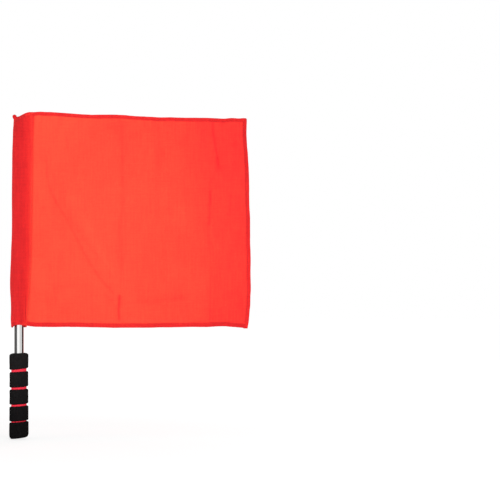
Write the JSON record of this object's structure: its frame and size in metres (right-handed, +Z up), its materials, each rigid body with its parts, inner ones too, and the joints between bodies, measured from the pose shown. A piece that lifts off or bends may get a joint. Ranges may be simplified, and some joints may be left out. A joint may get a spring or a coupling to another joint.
{
  "type": "hand flag",
  "caption": "Small plain red hand flag: hemmed cloth whose sewn sleeve turns on a polished steel tube with a ringed foam grip.",
  "frame": {"origin": "on the pole's axis at the middle of the grip", "axes": "+Z up along the pole, +X from the pole towards the fly edge, -Y out of the cloth's front face"},
  "size_m": [0.3616, 0.028, 0.4898],
  "materials": {
    "red_cloth": "satin",
    "red_thread": "satin",
    "polished_steel": "polished",
    "black_foam": "matte",
    "red_foam": "matte",
    "black_plastic": "matte"
  },
  "bodies": {
    "staff": {"pole_tube": "polished_steel", "pole_top_cap": "black_plastic", "pole_end_plug": "black_plastic", "grip_band_1": "black_foam", "grip_band_2": "black_foam", "grip_band_3": "black_foam", "grip_band_4": "black_foam", "grip_band_5": "black_foam", "grip_ring_1": "red_foam", "grip_ring_2": "red_foam", "grip_ring_3": "red_foam", "grip_ring_4": "red_foam"},
    "flag": {"flag_panel": "red_cloth", "pole_sleeve": "red_cloth", "sleeve_top": "red_cloth", "corner_tip": "red_cloth", "top_hem": "red_cloth", "bottom_hem": "red_cloth", "fly_hem": "red_cloth", "sleeve_seam_thread": "red_thread", "sleeve_mouth_thread": "red_thread", "top_hem_thread": "red_thread", "bottom_hem_thread": "red_thread", "fly_hem_thread": "red_thread"}
  },
  "joints": [
    {"name": "flag_swivel", "type": "hinge", "parent": "staff", "child": "flag", "pos_m": [0, 0, 0.25], "axis": [0, 0, 1], "continuous": true}
  ]
}
